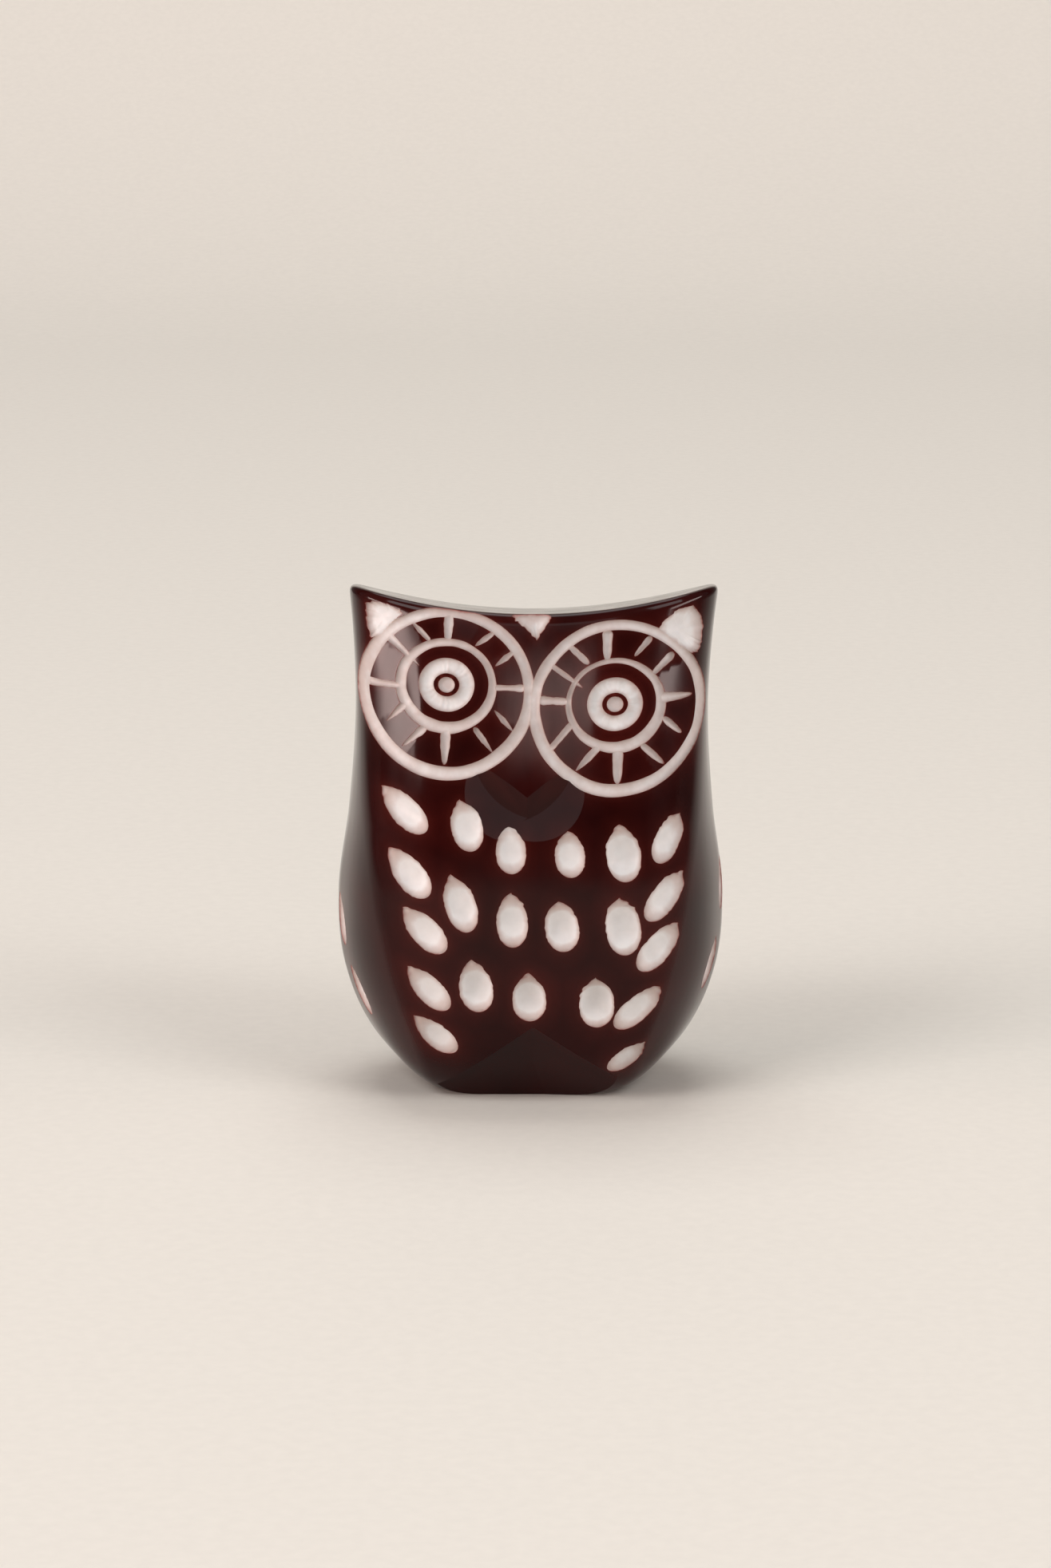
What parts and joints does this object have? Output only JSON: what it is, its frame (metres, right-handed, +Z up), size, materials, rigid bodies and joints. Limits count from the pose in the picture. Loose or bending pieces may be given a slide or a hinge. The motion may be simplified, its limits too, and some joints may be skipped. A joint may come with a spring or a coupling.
{
  "type": "owl figurine",
  "caption": "Small carved owl figurine with a scooped head, ringed eyes and seed-shaped cuts through a dark skin into a pale core.",
  "frame": {"origin": "middle of the flat base, on the surface that the owl stands on", "axes": "+Z up, the face looks along -Y, +X is to the right of someone facing the owl"},
  "size_m": [0.03, 0.0238, 0.0399],
  "materials": {
    "pale_core": "pale dense nut ivory, cut with a gouge, matt to satin",
    "dyed_skin": "dyed dark red-brown and polished to a gloss"
  },
  "bodies": {
    "root": {"carved_core": "pale_core", "dyed_skin": "dyed_skin", "left_pupil_ring": "dyed_skin", "left_iris_band": "dyed_skin", "left_eye_side_field": "dyed_skin", "left_eye_upper_field": "dyed_skin", "left_eye_lower_field": "dyed_skin", "right_pupil_ring": "dyed_skin", "right_iris_band": "dyed_skin", "right_eye_lower_side_field": "dyed_skin", "right_eye_side_field": "dyed_skin", "right_eye_main_field": "dyed_skin"}
  },
  "joints": []
}
